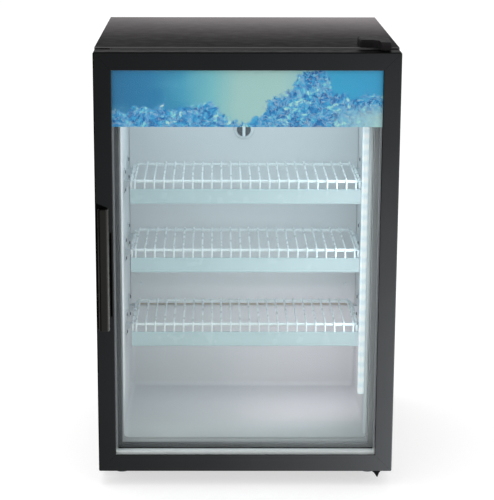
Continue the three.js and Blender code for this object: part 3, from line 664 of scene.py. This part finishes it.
def banner_material():
    """Own generic print: a pale sky over splashing water and crushed ice, with a painted reflection
    at the lower right.
    """
    t = Tree("banner_print")
    low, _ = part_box("door_banner")
    width = 2 * (DOOR_RIGHT - BAR_FACE)
    show = DOOR_HIGH - BAR_FACE - low.z
    across = t.maths("ADD", t.maths("DIVIDE", t.axis("X"), width), 0.5)
    up = t.maths("DIVIDE", t.maths("SUBTRACT", t.axis("Z"), low.z), show)

    waves = t.add("TexNoise", {"Vector": t.place(), "Scale": 34.0, "Detail": 3.0}).outputs["Color"]
    push = t.add("VectorMath", {0: waves, 1: (0.5, 0.5, 0.5)}, operation="SUBTRACT").outputs[0]
    push = t.add("VectorMath", {0: push, "Scale": 0.030}, operation="SCALE").outputs[0]
    bent = t.add("VectorMath", {0: t.place(), 1: push}, operation="ADD").outputs[0]

    def cells(scale):
        cell = t.add("TexVoronoi", {"Vector": bent, "Scale": scale})
        split = t.add("SeparateColor", {"Color": cell.outputs["Color"]})
        return split.outputs[0], cell.outputs["Distance"]

    big, big_reach = cells(95.0)
    small, _ = cells(230.0)
    tone = t.maths("ADD", t.maths("MULTIPLY", big, 0.5), t.maths("MULTIPLY", small, 0.5))
    folds = {"Vector": bent, "Scale": 60.0, "Detail": 5.0, "Distortion": 1.4}
    fold = t.add("TexNoise", folds).outputs["Fac"]
    ridge = t.maths("ABSOLUTE", t.maths("SUBTRACT", fold, 0.5))
    foam = t.spread(ridge, 1.0, 0.0, 0.0, 0.035)
    hearts = t.spread(big_reach, 0.14, -0.06, 0.0, 0.8)
    tone = t.maths("ADD", t.maths("MULTIPLY", tone, 0.85), hearts)
    ice = t.ramp(tone, [
        (0.12, (0.011, 0.138, 0.400, 1)), (0.32, (0.022, 0.264, 0.610, 1)),
        (0.48, (0.060, 0.432, 0.718, 1)), (0.60, (0.140, 0.360, 0.688, 1)),
        (0.70, (0.151, 0.636, 0.718, 1)), (0.82, (0.454, 0.776, 0.718, 1)),
        (0.95, (0.698, 0.776, 0.718, 1)),
    ])
    ice = t.blend(t.maths("MULTIPLY", foam, 0.42), ice, (0.698, 0.776, 0.718, 1))
    # Painted reflection: a pale patch over the print's lower right.
    at_right = t.spread(across, 0.0, 1.0, 0.80, 0.98)
    corner = t.maths("MULTIPLY", at_right, t.spread(up, 1.0, 0.0, 0.18, 0.42))
    ice = t.blend(t.maths("MULTIPLY", corner, 0.75), ice, (0.540, 0.776, 0.718, 1))

    drift = t.maths("MULTIPLY", t.maths("SUBTRACT", t.noise(6.0, 3.0), 0.5), 0.20)
    sky = t.ramp(t.maths("ADD", across, drift), [
        (0.00, (0.013, 0.180, 0.383, 1)), (0.12, (0.017, 0.222, 0.444, 1)),
        (0.24, (0.054, 0.348, 0.533, 1)), (0.36, (0.205, 0.552, 0.605, 1)),
        (0.48, (0.400, 0.636, 0.610, 1)), (0.62, (0.421, 0.654, 0.622, 1)),
        (0.76, (0.270, 0.576, 0.622, 1)), (0.80, (0.037, 0.396, 0.666, 1)),
        (1.00, (0.035, 0.366, 0.649, 1)),
    ])
    cloud = t.spread(t.noise(9.0, 5.0, (1, 1, 2.6)), 0.0, 0.30, 0.50, 0.75)
    left_only = t.spread(across, 1.0, 0.0, 0.30, 0.42)
    sky = t.blend(t.maths("MULTIPLY", cloud, left_only), sky, (0.173, 0.552, 0.718, 1))

    heights = [
        (0.00, 0.24), (0.08, 0.36), (0.20, 0.40), (0.29, 0.28), (0.36, 0.50), (0.42, 0.26),
        (0.475, 0.02), (0.51, 0.10), (0.59, 0.42), (0.67, 0.74), (0.71, 1.00), (0.79, 0.98),
        (0.815, 0.66), (0.90, 0.58), (1.00, 0.60),
    ]
    crest = t.ramp(across, [(place, (tall, tall, tall, 1)) for place, tall in heights])
    splashes = {"Vector": bent, "Scale": 42.0, "Detail": 6.0, "Roughness": 0.65}
    ragged = t.add("TexNoise", splashes).outputs["Fac"]
    ragged = t.maths("MULTIPLY", t.maths("SUBTRACT", ragged, 0.5), 0.75)
    fill = t.maths("SUBTRACT", t.maths("ADD", crest, ragged), up)
    cover = t.spread(fill, 0.0, 1.0, -0.02, 0.05)
    print_color = t.blend(cover, sky, ice)
    inputs = {
        "Base Color": t.blend(0.10, print_color, (0.0, 0.03, 0.05, 1)),
        "Roughness": t.spread(t.noise(300.0), 0.35, 0.5),
        "Specular IOR Level": 0.25,
        "Normal": t.bump(t.noise(1500.0), 0.04),
    }
    return t.finish(t.add("BsdfPrincipled", inputs))


def door_glass():
    for node in ("glass_outer", "glass_inner"):
        soften(node, 0.0, GLASS)
    soften("glass_spacer", 0.0, SPACER)
    soften("door_banner", 0.0, banner_material())


# ---------------------------------------------------------------- the interior
TIERS = ("lower", "middle", "upper")
INSIDE_X = 226 * MM
FLOOR_Z, CEILING_Z = 76 * MM, 745 * MM
STEP_Y, STEP_Z = 92 * MM, 250 * MM
LINER_WALL = 2 * MM


def liner():
    """Vacuum-formed liner with rounded inner corners and a flange round its mouth."""
    low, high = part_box("inner_liner")
    front, rear = low.y, high.y - LINER_WALL
    side = [(front, FLOOR_Z), (STEP_Y, FLOOR_Z), (STEP_Y, STEP_Z)]
    side += [(rear, STEP_Z), (rear, CEILING_Z), (front, CEILING_Z)]
    bm = bmesh.new()
    prism(bm, side, lambda u, v, w: (w, u, v), -INSIDE_X, INSIDE_X)
    bmesh.ops.recalc_face_normals(bm, faces=bm.faces)
    mouth = [f for f in bm.faces if all(abs(v.co.y - front) < 1e-6 for v in f.verts)]
    bmesh.ops.delete(bm, geom=mouth, context="FACES_ONLY")
    inner = [e for e in bm.edges if len(e.link_faces) == 2 and e.calc_face_angle(0) > 0.5]
    bevel(bm, inner, 9 * MM, 5)
    bmesh.ops.reverse_faces(bm, faces=bm.faces)
    shell = bare_object(bm, "liner_shell", LINER_WHITE)
    thick = shell.modifiers.new("wall", "SOLIDIFY")
    thick.thickness = LINER_WALL
    thick.offset = -1
    shade(shell, 40)
    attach(shell, "cabinet")
    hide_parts("inner_liner")
    flange(low, high)


def flange(low, high):
    """The liner's flat rim on the cabinet's front, with a bevelled lip at the mouth."""
    lip, rim = 1.2 * MM, 15.2 * MM
    front, rear = low.y, low.y + 2 * MM
    section = [(0, rear), (0, front + lip), (lip, front)]
    section += [(rim - 1 * MM, front), (rim, front + 1 * MM), (rim, rear)]
    rings = []
    for reach, y in section:
        x = INSIDE_X + reach
        bottom = FLOOR_Z - reach if reach <= lip else low.z
        top = CEILING_Z + reach if reach <= lip else high.z
        rings.append([(-x, y, bottom), (x, y, bottom), (x, y, top), (-x, y, top)])
    rings.append(rings[0])
    bm = bmesh.new()
    loft(bm, rings, caps=False)
    object_from(bm, "liner_flange", LINER_WHITE, body="cabinet", slot="liner_plastic")


def back_cover():
    """The cover of the evaporator: a sheet with fan slots and screws."""
    low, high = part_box("evaporator_cover")
    x = 225.3 * MM
    sheet = block((-x, low.y, low.z - 3.4 * MM), (x, high.y, high.z), 0.5 * MM)
    cover = object_from(sheet, "evaporator_face", LINER_WHITE, body="cabinet",
                        slot="liner_plastic", replaces=["evaporator_cover"])
    fan_z, fan_radius = 690 * MM, 50 * MM
    slot_pitch, slot_half = 11 * MM, 3 * MM
    bm = bmesh.new()
    for row in range(-4, 5):
        rise = row * slot_pitch
        half = math.sqrt(fan_radius ** 2 - rise ** 2)
        under, over = fan_z + rise - slot_half, fan_z + rise + slot_half
        outline = rounded([(-half, under), (half, under), (half, over), (-half, over)], 2.9 * MM)
        prism(bm, outline, lambda u, v, w: (u, w, v), low.y - 1 * MM, high.y + 1 * MM)
    carve(cover, bm, "DIFFERENCE")
    heights = (292 * MM, 470 * MM, 728 * MM)
    places = [(aside, low.y, z) for aside in (-205 * MM, 205 * MM) for z in heights]
    for count, place in enumerate(places, 1):
        screw(f"screw_{count}", place)


def screw(name, place):
    """A pan head with a crossed recess, standing proud of the evaporator's cover."""
    here = aimed(place, (0, -1, 0))
    radius = 2.8 * MM
    rise = radius * 0.42
    profile = [(TIP, -0.5 * MM), (radius, -0.5 * MM), (radius, rise * 0.25)]
    profile += [(radius * 0.86, rise * 0.7), (radius * 0.5, rise), (TIP, rise)]
    bm = bmesh.new()
    revolve(bm, profile, here, 18)
    head = object_from(bm, name, PART_WHITE, body="cabinet", slot="liner_plastic")
    long, wide = radius * 0.58, radius * 0.15
    cross = []
    for turned in range(4):
        turn = Matrix.Rotation(turned * math.pi / 2, 2)
        cross += [turn @ Vector(corner) for corner in ((wide, wide), (wide, long), (-wide, long))]
    bm = bmesh.new()
    prism(bm, cross, lambda u, v, w: here @ Vector((u, v, w)), rise * 0.45, rise * 1.5)
    carve(head, bm, "DIFFERENCE")


def interior_fittings():
    soften("lamp_housing", 0.5 * MM, PART_WHITE)
    soften("lamp_diffuser", 0.0, LAMP)
    soften("thermostat_body", 1.0 * MM, PART_WHITE)
    for level in TIERS:
        for place in ("front", "rear"):
            for side in ("left", "right"):
                shelf_clip(f"{level}_{place}_{side}")


def shelf_clip(name):
    """A plate against the wall with a hook under the shelf's side rod and two studs."""
    node = f"shelf_clip_{name}"
    low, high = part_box(node)
    side = 1 if low.x > 0 else -1
    wall = high.x if side > 0 else low.x
    reach = high.x - low.x
    middle = (low.y + high.y) / 2
    ledge = low.z + 22 * MM
    half, thick = 7 * MM, 2.4 * MM

    def out_of_wall(u, v, w):
        return (wall - side * w, middle + u, v)

    def along_wall(u, v, w):
        return (wall - side * u, middle + w, v)

    bm = bmesh.new()
    plate = [(-half, low.z), (half, low.z), (half, high.z - 6 * MM)]
    plate += [(3.5 * MM, high.z), (-half, high.z)]
    prism(bm, rounded(plate, 2.5 * MM), out_of_wall, 0.0, thick)
    root = thick * 0.6
    hook = [(root, ledge - 15 * MM), (root, ledge), (reach - 6 * MM, ledge)]
    hook += [(reach - 1.5 * MM, ledge), (reach, ledge - 3 * MM), (root + 4 * MM, ledge - 11 * MM)]
    prism(bm, rounded(hook, 0.9 * MM, 3), along_wall, -4.5 * MM, 4.5 * MM)
    object_from(bm, f"clip_{name}", CLIP_GREY, body="cabinet", slot="liner_plastic",
                replaces=[node])
    head = [(TIP, 0), (3.5 * MM, 0), (3.5 * MM, 1 * MM), (2.5 * MM, 1.7 * MM), (TIP, 1.9 * MM)]
    bm = bmesh.new()
    for height in (low.z + 5 * MM, high.z - 6 * MM):
        revolve(bm, head, aimed((wall - side * thick, middle, height), (-side, 0, 0)), 16)
    object_from(bm, f"studs_{name}", STUD_GREY, body="cabinet", slot="liner_plastic")


def shelf(level):
    """Welded wire shelf: a border rod, a skirt rod and wires that turn down at the front."""
    low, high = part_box(f"shelf_{level}")
    rod, wire = 2.9 * MM, 1.6 * MM
    top = high.z
    rod_z = top - 2 * wire - rod + 0.4 * MM
    left, right = low.x + rod, high.x - rod
    front, rear = low.y + rod, high.y - rod
    drop = low.z + rod
    bm = bmesh.new()
    border = [(left, front, rod_z), (right, front, rod_z)]
    border += [(right, rear, rod_z), (left, rear, rod_z)]
    tube(bm, bend(border, 14 * MM, 6, closed=True), rod, 10, closed=True)
    skirt = [(left, front, rod_z), (left, front, drop)]
    skirt += [(right, front, drop), (right, front, rod_z)]
    tube(bm, bend(skirt, 8 * MM, 5), rod * 0.8, 8)
    count, pitch = 24, 17.75 * MM
    for i in range(count):
        x = (i - (count - 1) / 2) * pitch
        turn_y = front - rod - wire
        line = [(x, rear + rod, top - wire), (x, turn_y, top - wire), (x, turn_y, drop)]
        tube(bm, bend(line, 4 * MM, 4), wire, 8)
    object_from(bm, f"shelf_wires_{level}", WIRE_WHITE, body="cabinet", slot="shelf_wire",
                replaces=[f"shelf_{level}"])


def price_strip(level):
    """Label channel with a rolled top and bottom edge and two beads on its face."""
    low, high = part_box(f"price_strip_{level}")
    wall = 1.1 * MM
    front, inside = low.y, low.y + wall
    outline = [(front, low.z), (high.y, low.z), (high.y, low.z + wall), (inside, low.z + wall)]
    outline += [(inside, high.z - wall), (high.y, high.z - wall), (high.y, high.z), (front, high.z)]
    lip_radii = [1.2 * MM, 0.3 * MM, 0.3 * MM, 0.4 * MM]
    radii = lip_radii + lip_radii[::-1]
    bm = bmesh.new()
    prism(bm, rounded(outline, radii), lambda u, v, w: (w, u, v), low.x, high.x)
    bead = 0.7 * MM
    y = front + bead * 0.4
    for z in (low.z + 3.2 * MM, high.z - 3.2 * MM):
        tube(bm, [(low.x + bead, y, z), (high.x - bead, y, z)], bead, 8)
    object_from(bm, f"strip_{level}", STRIP_AQUA, body="cabinet", slot="price_strip",
                replaces=[f"price_strip_{level}"])


def thermostat_knob():
    """Dial: a pale skirt, a dark fluted core and a pale grip bar across it."""
    low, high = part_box("thermostat_knob")
    centre = (low + high) / 2
    radius = (high.x - low.x) / 2
    wall = high.y
    outward = Matrix.Rotation(math.radians(90), 4, "X")
    place = Matrix.Translation((centre.x, wall, centre.z)) @ outward
    rides = {"body": "thermostat_dial", "slot": "liner_plastic"}
    bore, skirt = 3 * MM, 3.2 * MM
    profile = [(bore, 1 * MM), (radius, 1 * MM), (radius, 2.2 * MM)]
    profile += [(radius * 0.96, skirt), (bore, skirt)]
    bm = bmesh.new()
    revolve(bm, profile, place, 48)
    object_from(bm, "dial_skirt", PART_WHITE, replaces=["thermostat_knob"], **rides)
    core, depth = radius * 0.72, 10 * MM
    profile = [(bore, skirt), (core, skirt), (core, skirt + 1 * MM), (core * 0.94, depth * 0.8)]
    profile += [(core * 0.9, depth * 0.95), (core * 0.8, depth), (bore, depth)]
    bm = bmesh.new()
    revolve(bm, profile, place, 48)
    ridges, ridge = 30, 0.6 * MM
    for k in range(ridges):
        turn = 2 * math.pi * k / ridges
        x = centre.x + math.cos(turn) * core * 0.97
        z = centre.z + math.sin(turn) * core * 0.97
        tube(bm, [(x, wall - skirt - ridge, z), (x, wall - depth * 0.75, z)], ridge, 6)
    object_from(bm, "dial_knob", KNOB_GREY, **rides)
    half, long = 3 * MM, core * 0.92
    grip_low = (centre.x - half, low.y, centre.z - long)
    grip_high = (centre.x + half, wall - 8 * MM, centre.z + long)
    object_from(block(grip_low, grip_high, 1.6 * MM, 3), "dial_grip", PART_WHITE, **rides)


# -------------------------------------------------------------- outer cabinet
def cabinet_shell():
    for node in ("side_panel_left", "side_panel_right", "rear_grille"):
        soften(node, 0.5 * MM, SIDE_PAINT)
    soften("top_panel", 0.5 * MM, TOP_PAINT)
    soften("base_pan", 0.3 * MM, SIDE_PAINT)
    for node in ("back_panel", "machine_divider"):
        soften(node, 0.3 * MM, ZINC)
    hinge_shroud()
    soften("upper_hinge_bracket", 0.3 * MM, BLACK_PAINT)
    soften("lower_hinge_bracket", 0.6 * MM, BLACK_PAINT)
    soften("power_inlet", 0.3 * MM, BLACK_PLASTIC)
    soften("foam_insulation", 0.0, FOAM)


def hinge_shroud():
    """Moulded cover over the top hinge: a broad root that narrows to a nose over the pin."""
    low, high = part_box("hinge_cover")
    long, wide = high.y - low.y, high.x - low.x
    plan = [(0, 0), (0, 61 * MM), (23 * MM, 64 * MM), (33.5 * MM, 75 * MM)]
    plan += [(34.5 * MM, long), (wide - 2 * MM, long), (wide, 68 * MM), (wide, 0)]
    radii = [r * MM for r in (3, 5, 9, 9, 5, 5, 12, 3)]
    outline = rounded([(low.x + right, high.y - ahead) for right, ahead in plan], radii, 5)
    middle = Vector((low.x + 29 * MM, high.y - 46 * MM))
    dome = [(0.0, 1.0), (0.52, 1.0), (0.74, 0.985), (0.90, 0.955), (0.98, 0.92), (1.0, 0.88)]
    rings = []
    for rise, shrink in dome:
        z = low.z + (high.z - low.z) * rise
        shrunk = [middle + (Vector(point) - middle) * shrink for point in outline]
        rings.append([(point.x, point.y, z) for point in shrunk])
    bm = bmesh.new()
    loft(bm, rings)
    object_from(bm, "hinge_shroud", BLACK_PLASTIC, body="cabinet", slot="black_plastic",
                replaces=["hinge_cover"])


def condensing_unit():
    soften("compressor", 0.0, BLACK_PAINT)
    soften("condenser_coil", 0.0, FINS)
    soften("evaporator_coil", 0.0, FINS)
    soften("condenser_fan_motor", 0.4 * MM, ZINC)
    soften("condenser_fan_blade", 0.2 * MM, FINS)
    soften("evaporator_fan_motor", 0.4 * MM, BLACK_PLASTIC)
    soften("evaporator_fan_blade", 0.2 * MM, BLACK_PLASTIC)
    soften("filter_drier", 0.0, COPPER)
    soften("condensate_pan", 0.5 * MM, BLACK_PLASTIC)


def feet():
    for node in ("foot_front_left", "foot_front_right", "foot_rear_left", "foot_rear_right"):
        soften(node, 0.4 * MM, FOOT_GREY)


# ------------------------------------------------------------- light and stage
def pale_floor():
    """A floor that glows enough to run into the white world behind it."""
    bm = bmesh.new()
    bmesh.ops.create_grid(bm, x_segments=1, y_segments=1, size=20.0)
    t = Tree("pale_floor")
    inputs = {
        "Base Color": t.blend(t.noise(3.0, 4.0), (0.42, 0.42, 0.42, 1), (0.46, 0.46, 0.46, 1)),
        "Emission Color": (1, 1, 1, 1),
        "Emission Strength": 0.62,
        "Roughness": 0.9,
        "Specular IOR Level": 0.1,
    }
    floor = object_from(bm, "floor", t.finish(t.add("BsdfPrincipled", inputs)))


def area_light(name, place, target, size, power, color=(1, 1, 1)):
    data = bpy.data.lights.new(name, "AREA")
    data.shape = "RECTANGLE"
    data.size, data.size_y = size
    data.energy = power
    data.color = color
    lamp = bpy.data.objects.new(name, data)
    bpy.context.scene.collection.objects.link(lamp)
    lamp.location = place
    lamp.rotation_euler = (Vector(target) - Vector(place)).to_track_quat("-Z", "Y").to_euler()
    return lamp


def hidden_light(*settings):
    """An area light that isn't seen, either straight on or mirrored in a surface."""
    lamp = area_light(*settings)
    lamp.visible_camera = False
    lamp.visible_glossy = False
    return lamp


def pieces_of(name, *materials):
    """A collection of the pieces that have one of the materials, for light linking."""
    group = bpy.data.collections.new(name)
    for piece in bpy.context.scene.objects:
        if piece.type == "MESH" and piece.active_material in materials:
            group.objects.link(piece)
    return group


def all_but(name, *materials):
    """A light-linking collection that leaves out the pieces with one of the materials."""
    group = pieces_of(name, *materials)
    for row in group.collection_objects:
        row.light_linking.link_state = "EXCLUDE"
    return group


def studio():
    """A white room, two softboxes, and small lights for the glow inside the cabinet."""
    scene = bpy.context.scene
    scene.view_settings.view_transform = "Standard"
    world = bpy.data.worlds.new("studio")
    scene.world = world
    world.use_nodes = True
    white = world.node_tree.nodes["Background"]
    white.inputs["Color"].default_value = (1, 1, 1, 1)
    white.inputs["Strength"].default_value = 1.0
    cold, cool = (0.90, 0.95, 1.0), (0.76, 0.92, 1.0)
    plain, rosy = (1.0, 0.90, 0.94), (1.0, 0.80, 0.85)
    sheen = hidden_light("right_softbox", (0.85, -0.56, 0.06), (0.2, -0.26, 0.25), (0.2, 0.1),
                         560, cold)
    sheen.light_linking.receiver_collection = pieces_of("softbox_targets", BLACK_FRAME, BLACK_GRIP)
    area_light("top_softbox", (-0.4, 0.2, 2.6), (0, 0, 0.6), (1.8, 1.6), 22)
    lamp = hidden_light("lamp_glow", (0.205, -0.18, 0.47), (-0.25, 0.02, 0.47), (0.012, 0.52),
                        0.37, cool)
    lamp.light_linking.receiver_collection = all_but("beyond_lamp", STRIP_AQUA)
    low = hidden_light("low_glow", (0.12, -0.10, 0.220), (0.08, 0.06, 0.08), (0.22, 0.09),
                       0.165, rosy)
    low.light_linking.receiver_collection = all_but("beyond_low", STRIP_AQUA, WIRE_WHITE)
    hidden_light("upper_glow", (0, -0.15, 0.735), (0, 0.05, 0.35), (0.40, 0.05), 0.40, cool)
    hidden_light("front_glow", (0, -0.203, 0.50), (0, 0.1, 0.50), (0.42, 0.44), 0.25, cool)
    hidden_light("left_glow", (-0.206, -0.188, 0.44), (-0.226, -0.186, 0.44), (0.008, 0.58),
                 0.05, plain)
    strips = pieces_of("price_strips", STRIP_AQUA)
    wash = hidden_light("strip_wash", (0.47, -0.55, 0.45), (0, -0.14, 0.40), (0.2, 0.4),
                        3.9, plain)
    wash.light_linking.receiver_collection = strips
    wash.light_linking.blocker_collection = strips


def photo_camera():
    data = bpy.data.cameras.new("camera")
    data.sensor_width = 36.0
    data.lens = 120.8
    data.shift_x = 0.05
    data.shift_y = -0.06
    camera = bpy.data.objects.new("camera", data)
    bpy.context.scene.collection.objects.link(camera)
    camera.location = (-0.0543, -3.165, 1.190)
    pitch, yaw, roll = -0.2316, 0.0036, -0.0016
    turn = Matrix.Rotation(-yaw, 4, "Z") @ Matrix.Rotation(math.pi / 2 + pitch, 4, "X")
    turn = turn @ Matrix.Rotation(-roll, 4, "Z")
    camera.rotation_euler = turn.to_euler()
    bpy.context.scene.camera = camera


photo_camera()
pale_floor()
door_frame()
door_handle()
door_seal()
door_glass()
liner()
back_cover()
interior_fittings()
for tier in TIERS:
    shelf(tier)
    price_strip(tier)
thermostat_knob()
cabinet_shell()
condensing_unit()
feet()
studio()
